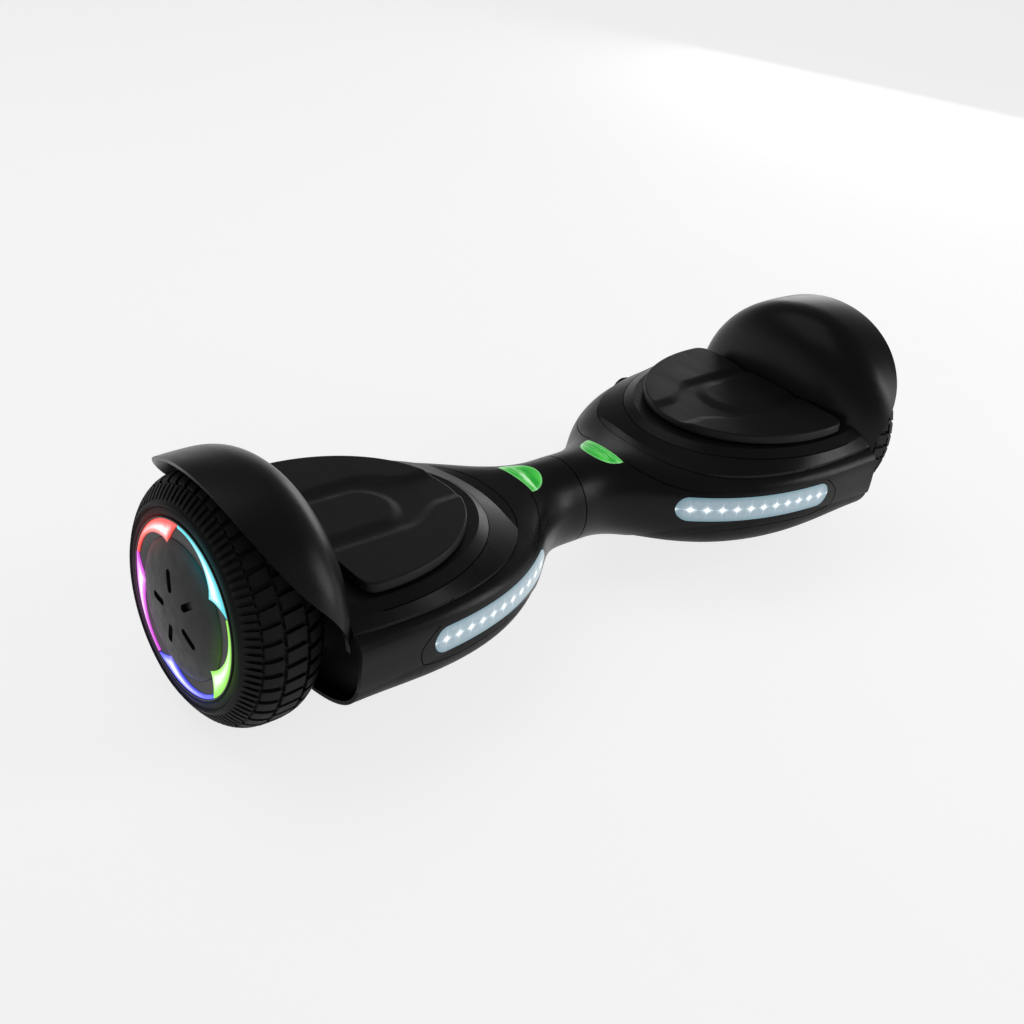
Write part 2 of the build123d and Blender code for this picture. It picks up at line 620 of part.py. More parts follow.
# ---------------------------------------------------------------- small electronics
def strip_board():
    """Curved light board behind the lens, with its row of lights."""
    band = body_form(LENS_DEPTH + 2.2) - body_form(LENS_DEPTH + 3.8)
    band = band & (Pos(0, 0, 0) * strip_prism(-2.0)) & block(0, BODY_END, -HALF_WIDTH, -15, 0, PAD_TOP)
    count = 11
    chips = Part()
    for i in range(count):
        x = STRIP_X0 + 9 + (STRIP_X1 - STRIP_X0 - 18) * i / (count - 1)
        chips += block(x - 2.5, x + 2.5, -HALF_WIDTH, -15, STRIP_Z - 2.5, STRIP_Z + 2.5)
    row = (body_form(LENS_DEPTH + 0.4) - body_form(LENS_DEPTH + 3.0)) & chips
    band += row
    return largest(band)


def moon_board():
    low = PIVOT_HEIGHT + NECK_R - LENS_DEPTH - 9.0
    board = block(MOON_X - 15, MOON_X - 1, -11, 11, low, low + 1.6)
    for y in (-6, 0, 6):
        board += block(MOON_X - 10, MOON_X - 6, y - 2, y + 2, low + 1.6, low + 3.4)
    for side in (-1, 1):
        board += post(MOON_X - 8, side * 8.5, PIVOT_HEIGHT + FRAME_BOSS_R - 1.5, low + 1, 1.8)
    board -= rod(0, BODY_END, FRAME_BOSS_R, PIVOT_HEIGHT)
    return board


GYRO_X0 = PLUNGER_X - 22.0
GYRO_Z = PLATE_Z + PLATE_THICK + 17.0


def gyro_board():
    board = block(GYRO_X0, GYRO_X0 + 44, -42, 42, GYRO_Z, GYRO_Z + 1.6)
    board += block(GYRO_X0 + 16, GYRO_X0 + 26, -5, 5, GYRO_Z + 1.6, GYRO_Z + 3.6)
    for side in (-1, 1):
        for x in (GYRO_X0 + 3, GYRO_X0 + 41):
            board += post(x, side * 27, PLATE_Z + PLATE_THICK, GYRO_Z + 1, 2.5)
        for dy in (-11, 11):
            y = side * PLUNGER_Y + dy
            board += block(PLUNGER_X - 5, PLUNGER_X + 5, y - 1.5, y + 1.5, GYRO_Z + 1, GYRO_Z + 8)
    return board


BATTERY_LENGTH = 126.0
BATTERY_WIDTH = 84.0
BATTERY_X0 = PLATE_END - 12.0 - BATTERY_LENGTH


def battery():
    pack = block(BATTERY_X0, BATTERY_X0 + BATTERY_LENGTH, -BATTERY_WIDTH / 2, BATTERY_WIDTH / 2,
                 GROUND_CLEARANCE + 9, PLATE_Z)
    return fillet(pack.edges().filter_by(Axis.X), 5.0)


def control_board():
    x0 = BATTERY_X0 + 6
    board = block(x0, x0 + 110, -36, 36, PLATE_Z - 12, PLATE_Z - 10.4)
    board += block(x0 + 12, x0 + 98, -30, -14, PLATE_Z - 10.4, PLATE_Z)
    board += block(x0 + 12, x0 + 98, 14, 30, PLATE_Z - 10.4, PLATE_Z)
    for i in range(5):
        board += post(x0 + 18 + 18 * i, 0, PLATE_Z - 26, PLATE_Z - 11, 6.0)
    return board


# ---------------------------------------------------------------- waist
def pivot_tube():
    tube = pipe(-BOSS_END - 4, BOSS_END + 7, TUBE_DIAMETER / 2, TUBE_DIAMETER / 2 - 3.5, PIVOT_HEIGHT)
    groove_x = BOSS_END + 3.2
    return tube - pipe(groove_x, groove_x + 1.6, TUBE_DIAMETER / 2 + 1, TUBE_DIAMETER / 2 - 1, PIVOT_HEIGHT)


def pivot_bushes():
    radius = TUBE_DIAMETER / 2
    inner = radius + RUNNING_CLEARANCE
    near = pipe(SEAM_GAP + LUG_REACH + 2, 0.45 * BOSS_END, radius + BUSH_WALL, inner, PIVOT_HEIGHT)
    far = pipe(0.55 * BOSS_END, BOSS_END, radius + BUSH_WALL, inner, PIVOT_HEIGHT)
    far += pipe(BOSS_END, BOSS_END + 1.5, radius + 4, inner, PIVOT_HEIGHT)
    return group([near, far])


def circlip():
    """Thrust washer and circlip that keep the halves together."""
    radius = TUBE_DIAMETER / 2
    washer = pipe(BOSS_END + 1.6, BOSS_END + 3.1, radius + 4, radius + 0.1, PIVOT_HEIGHT)
    clip = pipe(BOSS_END + 3.25, BOSS_END + 4.7, radius + 2.5, radius - 0.9, PIVOT_HEIGHT)
    mouth = block(BOSS_END, BOSS_END + 9, -3, 3, PIVOT_HEIGHT, PIVOT_HEIGHT + radius + 6)
    return group([washer, clip - mouth])


# ---------------------------------------------------------------- rear controls
def power_button():
    """Push button with a flange behind its seat, so that it can't fall out."""
    back = BUTTON_SEAT_Y - SEAT_DEPTH
    button = rear_rod(BUTTON_X, back, BUTTON_SEAT_Y + BUTTON_PROUD, BUTTON_R)
    return button + rear_rod(BUTTON_X, back - 2.0, back - 0.2, BUTTON_R + 1.5) + rear_rod(
        BUTTON_X, back - 0.5, back + 0.5, BUTTON_R - 1.5)


def charging_socket():
    """Round three pin socket, held by a flange behind its seat."""
    back = PORT_SEAT_Y - SEAT_DEPTH
    socket = rear_rod(PORT_X, back - 7, PORT_SEAT_Y - 0.4, PORT_R, PORT_Z)
    socket += rear_rod(PORT_X, back - 3, back, PORT_R + 3, PORT_Z)
    socket -= rear_rod(PORT_X, back, PORT_SEAT_Y + 1, PORT_R - 1.6, PORT_Z)
    for i in range(3):
        a = 2 * pi * i / 3
        pin_z = PORT_Z + 3.4 * cos(a)
        socket += rear_rod(PORT_X + 3.4 * sin(a), back - 1, PORT_SEAT_Y - 4, 0.9, pin_z)
    return socket


def charging_cap():
    """Rubber flap with a short plug, hinged at its lower tab."""
    tab = EAR_X - 0.3
    cap = rear_rod(PORT_X, CAP_Y, CAP_Y + CAP_THICK, PORT_R + 2.0, PORT_Z)
    cap += rear_rod(PORT_X, PORT_SEAT_Y - 2.0, CAP_Y + 0.1, PORT_R - 2.2, PORT_Z)
    cap += block(PORT_X - tab, PORT_X + tab, CAP_Y, CAP_Y + CAP_THICK, CAP_HINGE_Z, PORT_Z)
    cap += along_hinge(CAP_THICK / 2, tab)
    return cap + along_hinge(CAP_PIN_R, EAR_X + EAR_THICK)


# ---------------------------------------------------------------- write every piece
def main():
    os.makedirs("parts", exist_ok=True)
    pieces = {}
    half = {
        "fender": fender(),
        "foot_pad": foot_pad(),
        "pad_plungers": pad_plungers(),
        "front_light_lens": largest(STRIP_LENS),
        "front_light_board": strip_board(),
        "direction_light_lens": largest(MOON_LENS),
        "direction_light_board": moon_board(),
        "lower_shell": lower_shell(),
        "shell_screws": group([shell_screw(x, y) for x, y in BOSSES]),
        "axle_clamp": axle_clamp(),
        "clamp_bolts": clamp_bolts(),
        "gyro_board": gyro_board(),
        "tyre": tyre(),
        "motor_drum": drum(),
        "motor_magnets": magnets(),
        "motor_stator": stator(),
        "motor_side_cover": side_cover(),
        "wheel_bearings": bearings(),
        "axle": axle(),
        "hub_cover": hub_cover(),
        "hub_cover_screws": cover_screws(),
        "hub_light_ring": light_ring(),
        "hub_light_board": light_board(),
    }
    for name, shape in half.items():
        pieces["right_" + name] = shape
        pieces["left_" + name] = mirrored(shape)
    pieces["right_upper_shell"] = upper_shell(True)
    pieces["left_upper_shell"] = mirrored(upper_shell(False))
    pieces["right_frame"] = frame(True)
    pieces["left_frame"] = mirrored(frame(False)) + twist_lug()
    pieces["pivot_tube"] = pivot_tube()
    pieces["pivot_bushes"] = pivot_bushes()
    pieces["pivot_circlip"] = circlip()
    pieces["battery_pack"] = mirrored(battery())
    pieces["control_board"] = control_board()
    pieces["power_button"] = power_button()
    pieces["charging_socket"] = charging_socket()
    pieces["charging_port_cap"] = charging_cap()
    for name, shape in pieces.items():
        export_step(shape, "parts/" + name + ".step")


main()
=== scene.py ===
import math

import bmesh
import bpy
from mathutils import Matrix, Vector
from mathutils.bvhtree import BVHTree


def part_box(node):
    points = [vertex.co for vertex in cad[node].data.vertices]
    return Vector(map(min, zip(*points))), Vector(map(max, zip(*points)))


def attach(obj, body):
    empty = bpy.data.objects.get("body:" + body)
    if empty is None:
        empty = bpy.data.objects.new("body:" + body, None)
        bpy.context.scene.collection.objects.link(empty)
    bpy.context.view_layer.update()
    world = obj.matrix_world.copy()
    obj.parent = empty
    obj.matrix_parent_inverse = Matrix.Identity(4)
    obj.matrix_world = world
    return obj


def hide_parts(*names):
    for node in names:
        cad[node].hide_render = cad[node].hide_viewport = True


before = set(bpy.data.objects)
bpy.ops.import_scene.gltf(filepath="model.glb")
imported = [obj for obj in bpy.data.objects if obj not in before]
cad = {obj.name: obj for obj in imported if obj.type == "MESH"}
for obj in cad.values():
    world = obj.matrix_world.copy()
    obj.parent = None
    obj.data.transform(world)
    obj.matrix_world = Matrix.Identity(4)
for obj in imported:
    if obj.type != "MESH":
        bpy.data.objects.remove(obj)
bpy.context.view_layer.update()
collection = bpy.context.scene.collection
SIDES = (("left", -1), ("right", 1))

# ---------------------------------------------------------------- studio
# A pale sweep of floor, a bright even room and three large soft boxes. The camera
# looks down on the board from in front of its left wheel, tilted a little.
camera = bpy.data.objects.new("camera", bpy.data.cameras.new("camera"))
collection.objects.link(camera)
camera.data.sensor_width = 36.0
camera.data.lens = 51.84
camera.matrix_world = (
    Matrix.Translation((-0.67502, -0.64963, 0.60499))
    @ Matrix.Rotation(math.radians(-44.22), 4, "Z")
    @ Matrix.Rotation(math.radians(90 - 30.39), 4, "X")
    @ Matrix.Rotation(math.radians(7.82), 4, "Z")
)
bpy.context.scene.camera = camera
bpy.context.scene.view_settings.view_transform = "Standard"

room = bpy.data.worlds.new("room")
bpy.context.scene.world = room
room.use_nodes = True
sky = room.node_tree
sky.nodes["Background"].inputs["Color"].default_value = (0.97, 0.97, 0.975, 1)
direction = sky.nodes.new("ShaderNodeTexCoord")
height = sky.nodes.new("ShaderNodeSeparateXYZ")
falloff = sky.nodes.new("ShaderNodeMapRange")
falloff.interpolation_type = "SMOOTHSTEP"
for socket, value in (("From Min", 0.02), ("From Max", 0.34), ("To Min", 0.92), ("To Max", 0.15)):
    falloff.inputs[socket].default_value = value
sky.links.new(direction.outputs["Generated"], height.inputs["Vector"])
sky.links.new(height.outputs["Z"], falloff.inputs["Value"])
sky.links.new(falloff.outputs["Result"], sky.nodes["Background"].inputs["Strength"])


def soft_box(name, size, power, place, aim):
    """A rectangular lamp at a place, turned towards the point it is aimed at."""
    lamp = bpy.data.lights.new(name, "AREA")
    lamp.shape = "RECTANGLE"
    lamp.size, lamp.size_y = size
    lamp.energy = power
    box = bpy.data.objects.new(name, lamp)
    collection.objects.link(box)
    box.location = place
    box.rotation_mode = "QUATERNION"
    box.rotation_quaternion = (Vector(aim) - Vector(place)).to_track_quat("-Z", "Y")


soft_box("overhead_soft_box", (1.4, 1.2), 4.0, (-0.3, 0.6, 1.5), (0, 0, 0.08))
soft_box("right_soft_box", (0.5, 0.9), 8.0, (1.35, -1.0, 0.75), (0.1, 0, 0.08))
soft_box("rear_soft_box", (0.9, 0.6), 3.4, (1.6, 0.8, 0.35), (-0.1, 0, 0.08))


def object_from(form, name, smooth=40.0):
    """Turns a finished bmesh into an object whose edges under the angle are shaded smooth."""
    mesh = bpy.data.meshes.new(name)
    form.to_mesh(mesh)
    form.free()
    mesh.shade_smooth()
    mesh.set_sharp_from_angle(angle=math.radians(smooth))
    piece = bpy.data.objects.new(name, mesh)
    collection.objects.link(piece)
    return piece


FLOOR_SIZE = 40.0
form = bmesh.new()
bmesh.ops.create_grid(form, x_segments=2, y_segments=2, size=FLOOR_SIZE)
floor = object_from(form, "floor")


def new_finish(name, **sockets):
    """A material with its shader, its node tree and the coordinates of the piece."""
    finish = bpy.data.materials.new(name)
    finish.use_nodes = True
    tree = finish.node_tree
    shader = tree.nodes["Principled BSDF"]
    for socket, value in sockets.items():
        shader.inputs[socket.replace("_", " ")].default_value = value
    where = tree.nodes.new("ShaderNodeTexCoord").outputs["Object"]
    return finish, tree, shader, where


def speckle(tree, where, scale, detail=3.0, stretch=(1, 1, 1)):
    """Noise over the piece, in cells of 1/scale metre."""
    spread = tree.nodes.new("ShaderNodeMapping")
    spread.inputs["Scale"].default_value = stretch
    tree.links.new(where, spread.inputs["Vector"])
    noise = tree.nodes.new("ShaderNodeTexNoise")
    noise.inputs["Scale"].default_value = scale
    noise.inputs["Detail"].default_value = detail
    tree.links.new(spread.outputs["Vector"], noise.inputs["Vector"])
    return noise.outputs["Fac"]


def between(tree, value, low, high, source=(0.3, 0.7)):
    """Spreads a value from its source range to low..high."""
    spread = tree.nodes.new("ShaderNodeMapRange")
    spread.inputs["From Min"].default_value = source[0]
    spread.inputs["From Max"].default_value = source[1]
    spread.inputs["To Min"].default_value = low
    spread.inputs["To Max"].default_value = high
    tree.links.new(value, spread.inputs["Value"])
    return spread.outputs["Result"]


def shade(tree, value, dark, light):
    """Mixes two colours by a value of 0..1; the dark one may come from another node."""
    mix = tree.nodes.new("ShaderNodeMix")
    mix.data_type = "RGBA"
    if isinstance(dark, tuple):
        mix.inputs["A"].default_value = (*dark, 1)
    else:
        tree.links.new(dark, mix.inputs["A"])
    mix.inputs["B"].default_value = (*light, 1)
    tree.links.new(value, mix.inputs["Factor"])
    return mix.outputs["Result"]


def raised(tree, shader, height, depth, distance=0.0001):
    """Bump from a height of 0..1; a second call adds finer bump to the first."""
    bump = tree.nodes.new("ShaderNodeBump")
    bump.inputs["Strength"].default_value = depth
    bump.inputs["Distance"].default_value = distance
    if shader.inputs["Normal"].links:
        tree.links.new(shader.inputs["Normal"].links[0].from_socket, bump.inputs["Normal"])
    tree.links.new(height, bump.inputs["Height"])
    tree.links.new(bump.outputs["Normal"], shader.inputs["Normal"])


def moulded(name, dark, light, rough, grain=1500.0, depth=0.25, stretch=(1, 1, 1), patch=9.0, **sockets):
    """Finish of a moulded, cast or turned piece: mottled colour, uneven gloss, fine grain, rubs."""
    finish, tree, shader, where = new_finish(name, **sockets)
    tone = between(tree, speckle(tree, where, patch), 0, 1)
    tree.links.new(shade(tree, tone, dark, light), shader.inputs["Base Color"])
    rubs = speckle(tree, where, 60.0, 6.0, (1, 0.25, 1))
    worn = tree.nodes.new("ShaderNodeMath")
    worn.operation = "ADD"
    tree.links.new(between(tree, rubs, rough[0], rough[1]), worn.inputs[0])
    tree.links.new(between(tree, speckle(tree, where, 700.0, 2.0), -0.025, 0.025), worn.inputs[1])
    tree.links.new(worn.outputs["Value"], shader.inputs["Roughness"])
    raised(tree, shader, speckle(tree, where, grain, 2.0, stretch), depth)
    return finish


pale_floor = moulded(
    "pale_floor", (0.30, 0.30, 0.302), (0.32, 0.32, 0.322), (0.8, 0.9), 300.0, 0.02, patch=1.5,
    Emission_Color=(1, 1, 1, 1), Emission_Strength=0.78,
)
floor.data.materials.append(pale_floor)

# ---------------------------------------------------------------- upper shells
# The two halves of the deck are injection moulded in black ABS with a fine satin grain,
# stepped up in two terraces round the foot pads and screwed to the trays from below. Hairlines
# run along each terrace, along the crease by the green light and round the end of the light strip;
# the shade in them is painted on as thin near-black ribbons laid over the shells.
DECK_CENTRE = 0.2075
DECK_END = 0.2225
# half length, half width and squareness of each terrace
TERRACES = {"inner_terrace_shade_line": (0.1185, 0.08793, 2.0), "outer_terrace_shade_line": (0.1395, 0.09293, 2.3)}
# the crease seen from above, the hook round the light strip seen from the front
CREASE = (
    (0.0469, 0.0197), (0.0487, 0.0272), (0.0525, 0.0350), (0.0619, 0.0485), (0.0729, 0.0601),
    (0.0855, 0.0698), (0.0997, 0.0779),
)
HOOK = (
    (0.1864, 0.0877), (0.1934, 0.0825), (0.1993, 0.0754), (0.1997, 0.0684), (0.1961, 0.0619),
    (0.1851, 0.0594), (0.1692, 0.0584), (0.1435, 0.0588), (0.1212, 0.0585), (0.0988, 0.0567),
    (0.0801, 0.0530), (0.0674, 0.0480),
)
HAIRLINE, HAIRLINE_LIFT = 0.00036, 0.00006
THIN_FROM, THINNED_BY = 0.35, 0.85
CLEAR_OF_SHELLS = 0.13


def sum_of(tree, operation, first, second=None):
    """One Math node: each term is a socket or a number."""
    math_node = tree.nodes.new("ShaderNodeMath")
    math_node.operation = operation
    for slot, term in enumerate((first, second)):
        if term is None:
            continue
        if isinstance(term, (int, float)):
            math_node.inputs[slot].default_value = term
        else:
            tree.links.new(term, math_node.inputs[slot])
    return math_node.outputs["Value"]


def axes_of(tree, where, centre):
    """Distances along the board (the same on both halves), across it and up, from a centre."""
    split = tree.nodes.new("ShaderNodeSeparateXYZ")
    tree.links.new(where, split.inputs["Vector"])
    along = sum_of(tree, "SUBTRACT", sum_of(tree, "ABSOLUTE", split.outputs["X"]), centre[0])
    across = sum_of(tree, "SUBTRACT", split.outputs["Y"], centre[1])
    up = sum_of(tree, "SUBTRACT", split.outputs["Z"], centre[2])
    return along, across, up


def distance(tree, first, second):
    """Distance from the origin of two offsets at right angles."""
    squares = [sum_of(tree, "MULTIPLY", term, term) for term in (first, second)]
    return sum_of(tree, "SQRT", sum_of(tree, "ADD", *squares))


shell_plastic = moulded(
    "satin_black_abs", (0.0055, 0.0055, 0.006), (0.0085, 0.0085, 0.009), (0.27, 0.36), 2600.0, 0.14, IOR=1.25
)
# Painted shade: a near-black, matte, almost unreflecting finish for the thin ribbons that stand in for the
# shade down the hairline seams.
groove_shadow = moulded(
    "painted_groove_shadow", (0.0006, 0.0006, 0.0006), (0.0010, 0.0010, 0.0010), (0.7, 0.85), 2600.0, 0.2, IOR=1.05
)


def ease(value, start, end):
    """0 before start, 1 after end, smooth between."""
    share = min(max((value - start) / (end - start), 0.0), 1.0)
    return share * share * (3 - 2 * share)


def terrace_path(length, width, square):
    """Half-oval line of one terrace, from the fender round the waist side and back."""
    path = []
    for step in range(-150, 151):
        turn = math.radians(step * 0.66)
        across, aside = math.cos(turn), math.sin(turn)
        x = DECK_CENTRE - length * math.copysign(abs(across) ** (2 / square), across)
        y = width * math.copysign(abs(aside) ** (2 / square), aside)
        if x < DECK_END:
            path.append((x, y))
    return path


def smooth_path(points, parts=8):
    """More points on a smooth line through the given ones."""
    knots = [Vector(point) for point in (points[0], *points, points[-1])]
    path = []
    for a, b, c, d in zip(knots, knots[1:], knots[2:], knots[3:]):
        for part in range(parts):
            t = part / parts
            bend = (2 * a - 5 * b + 4 * c - d) * t**2 + (3 * b - a - 3 * c + d) * t**3
            path.append((2 * b + (c - a) * t + bend) / 2)
    return path + [knots[-1]]


def shade_line_form(faces_under, starts, toward, thin_end):
    """A ribbon of painted shade along a hairline on the shells, found from points outside them; it may run
    out to a thin end.
    """
    form = bmesh.new()
    spine = []
    for start in starts:
        hits = [surface.ray_cast(Vector(start), Vector(toward)) for surface in faces_under]
        hits = [hit for hit in hits if hit[0] is not None]
        if hits:
            place, normal, _, _ = min(hits, key=lambda hit: hit[3])
            spine.append((form.verts.new(place), normal))
    edges = [form.edges.new((spine[i][0], spine[i + 1][0])) for i in range(len(spine) - 1)]
    places = [corner.co.copy() for corner, _ in spine]
    grown = bmesh.ops.extrude_edge_only(form, edges=edges)["geom"]
    twins = [part for part in grown if isinstance(part, bmesh.types.BMVert)]
    for index, (corner, normal) in enumerate(spine):
        ahead = places[min(index + 1, len(places) - 1)] - places[max(index - 1, 0)]
        narrowed = THINNED_BY * ease(index / len(spine), THIN_FROM, 1.0) if thin_end else 0.0
        out = normal.cross(ahead).normalized() * (HAIRLINE * (1.0 - narrowed))
        twin = min(twins, key=lambda other: (other.co - places[index]).length)
        twins.remove(twin)
        middle = places[index] + normal * HAIRLINE_LIFT
        twin.co = middle + out
        corner.co = middle - out
    bmesh.ops.recalc_face_normals(form, faces=form.faces)
    if sum(face.normal.dot(Vector(toward)) for face in form.faces) > 0:
        bmesh.ops.reverse_faces(form, faces=form.faces)
    return form


DOWN, BACK = (0, 0, -1), (0, 1, 0)
# Painted shade: each hairline, crease and hook gets a thin dark ribbon laid on the shells instead of a cut
# groove.
lines = {name: (terrace_path(*oval), DOWN, False) for name, oval in TERRACES.items()}
lines["front_crease_groove"] = ([(x, -y) for x, y in smooth_path(CREASE)], DOWN, True)
lines["rear_crease_groove"] = (smooth_path(CREASE), DOWN, True)
lines["light_strip_groove"] = (smooth_path(HOOK), BACK, True)
for side, sign in SIDES:
    cad[side + "_upper_shell"].data.materials[0] = shell_plastic
    settled = bpy.context.evaluated_depsgraph_get()
    shells = [BVHTree.FromObject(cad[side + name], settled) for name in ("_upper_shell", "_lower_shell")]
    for name, (path, toward, thin_end) in lines.items():
        if toward == DOWN:
            starts = [(sign * x, y, CLEAR_OF_SHELLS) for x, y in path]
        else:
            starts = [(sign * x, -CLEAR_OF_SHELLS, z) for x, z in path]
        groove = object_from(shade_line_form(shells, starts, toward, thin_end), side + "_" + name)
        groove.data.materials.append(groove_shadow)
        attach(groove, side + "_half")

# ---------------------------------------------------------------- fenders
# A separate dome over each wheel, moulded in the same black ABS with a smoother face,
# its lower edge rolled over; it is fixed to the deck from inside the wheel well.
fender_plastic = moulded(
    "smooth_black_abs", (0.006, 0.006, 0.0065), (0.009, 0.009, 0.0095), (0.27, 0.35), 3200.0, 0.08, IOR=1.26
)
for side, _ in SIDES:
    cad[side + "_fender"].data.materials[0] = fender_plastic

# ---------------------------------------------------------------- trays
# The lower shells are moulded in the same black plastic with a coarser spark-eroded grain,
# duller than the deck and scuffed, because the board is stood and dragged on them.
tray_plastic = moulded(
    "grained_black_abs", (0.006, 0.006, 0.0065), (0.010, 0.010, 0.0105), (0.42, 0.54), 1500.0, 0.30, IOR=1.18
)
for side, _ in SIDES:
    cad[side + "_lower_shell"].data.materials[0] = tray_plastic
    cad[side + "_frame"].data.materials[0] = moulded(
        side + "_cast_alloy", (0.30, 0.30, 0.31), (0.42, 0.42, 0.43), (0.42, 0.6), 900.0, 0.5, Metallic=1.0
    )

# ---------------------------------------------------------------- foot pads
# A half-oval rubber mat covers each foot sensor. A wide keyhole channel is pressed into it,
# running out under the fender round a raised tongue; it has a fine pebble grain for grip.
pad_low, pad_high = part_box("right_foot_pad")
PAD_LENGTH, PAD_HALF = 0.099, 0.07643
PAD_CORNER = 0.009
PAD_ROUND = 0.0012
CHANNEL_DEPTH, CHANNEL_WALL = 0.0024, 0.0095
NECK_HALF, KEYHOLE_HALF = 0.0215, 0.0370
WIDENS_FROM, WIDENS_TO = 0.126, 0.162
TONGUE_START, TONGUE_TOP, TONGUE_FOOT = 0.176, 0.0165, 0.0265


def pad_reach(x):
    """Half the pad's width at a place along the board, corners by the fender rounded."""
    share = (x - DECK_CENTRE) / PAD_LENGTH
    reach = PAD_HALF * math.sqrt(max(0.0, 1 - share * share))
    into = x - (pad_high.x - PAD_CORNER)
    if into > 0:
        reach -= PAD_CORNER - math.sqrt(max(0.0, PAD_CORNER**2 - into**2))
    return reach


def pad_height(x, y):
    """Top of the pad: level, with the channel and the tongue in it."""
    outer = NECK_HALF + (KEYHOLE_HALF - NECK_HALF) * ease(x, WIDENS_FROM, WIDENS_TO)
    inner = outer - CHANNEL_WALL - (0.001 if y < 0 else 0.0)
    channel = 1 - ease(abs(y), inner, outer)
    nose = math.hypot(min(x - TONGUE_START, 0.0), y * 0.95)
    tongue = 1 - ease(nose, TONGUE_TOP, TONGUE_FOOT)
    return pad_high.z - CHANNEL_DEPTH * channel * (1 - tongue)


def mirrored(form, sign):
    """The form of the right half as it is, or turned into that of the left half."""
    if sign < 0:
        bmesh.ops.scale(form, vec=(-1, 1, 1), verts=form.verts)
        bmesh.ops.reverse_faces(form, faces=form.faces)
    return form


def pad_form(sign):
    """A grid bent to the pad's outline and relief, its rim rounded over and its foot closed."""
    form = bmesh.new()
    bmesh.ops.create_grid(form, x_segments=150, y_segments=150, size=0.5)
    turn_end = math.acos((DECK_CENTRE - pad_high.x) / PAD_LENGTH)
    for corner in form.verts:
        along = corner.co.x + 0.5
        x = DECK_CENTRE - PAD_LENGTH * math.cos(turn_end * along)
        y = 2 * corner.co.y * pad_reach(x)
        corner.co = (x, y, pad_height(x, y))
    bmesh.ops.remove_doubles(form, verts=form.verts, dist=1e-6)
    rim = [edge for edge in form.edges if edge.is_boundary]
    for drop, spread in ((PAD_ROUND * 0.3, PAD_ROUND * 0.7), (PAD_ROUND * 0.7, PAD_ROUND * 0.3)):
        grown = bmesh.ops.extrude_edge_only(form, edges=rim)["geom"]
        for corner in (part for part in grown if isinstance(part, bmesh.types.BMVert)):
            away = Vector((corner.co.x - DECK_CENTRE, corner.co.y)).normalized()
            if corner.co.x > pad_high.x - 0.0008:
                away = Vector((0.0, 0.0))
            corner.co.x += away.x * spread
            corner.co.y += away.y * spread
            corner.co.z -= drop
        rim = [part for part in grown if isinstance(part, bmesh.types.BMEdge)]
    grown = bmesh.ops.extrude_edge_only(form, edges=rim)["geom"]
    for corner in (part for part in grown if isinstance(part, bmesh.types.BMVert)):
        corner.co.z = pad_low.z
    bmesh.ops.holes_fill(form, edges=[part for part in grown if isinstance(part, bmesh.types.BMEdge)])
    bmesh.ops.recalc_face_normals(form, faces=form.faces)
    return mirrored(form, sign)


pad_rubber = moulded(
    "pebbled_black_rubber", (0.007, 0.007, 0.0073), (0.011, 0.011, 0.0115), (0.42, 0.54), 1100.0, 0.35,
    IOR=1.28,
)
for side, sign in SIDES:
    pad = object_from(pad_form(sign), side + "_pad_mat", 50)
    pad.data.materials.append(pad_rubber)
    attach(pad, side + "_pad")
    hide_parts(side + "_foot_pad")
    cad[side + "_pad_plungers"].data.materials[0] = pad_rubber

# ---------------------------------------------------------------- front light strips
# A long round-ended lens of clear acrylic, frosted inside, glued into the front of each deck
# over a board with eleven white lights; each one shows as a small bright star, its four-pointed glare
# painted into the lens's glow.
strip_low, strip_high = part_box("right_front_light_lens")
STRIP_MIDDLE = (strip_low.x + strip_high.x) / 2
STRIP_LEVEL = (strip_low.z + strip_high.z) / 2
STRIP_RADIUS = 0.0095
STRIP_LENGTH = strip_high.x - strip_low.x
LIGHTS = 11
PITCH = (STRIP_LENGTH - 0.018) / (LIGHTS - 1)
STAR_CORE, STAR_REACH = 0.0046, 0.0085


def glow(tree, shader, colour, strength):
    """Light from the piece itself, its colour and strength taken from other nodes."""
    tree.links.new(colour, shader.inputs["Emission Color"])
    tree.links.new(strength, shader.inputs["Emission Strength"])


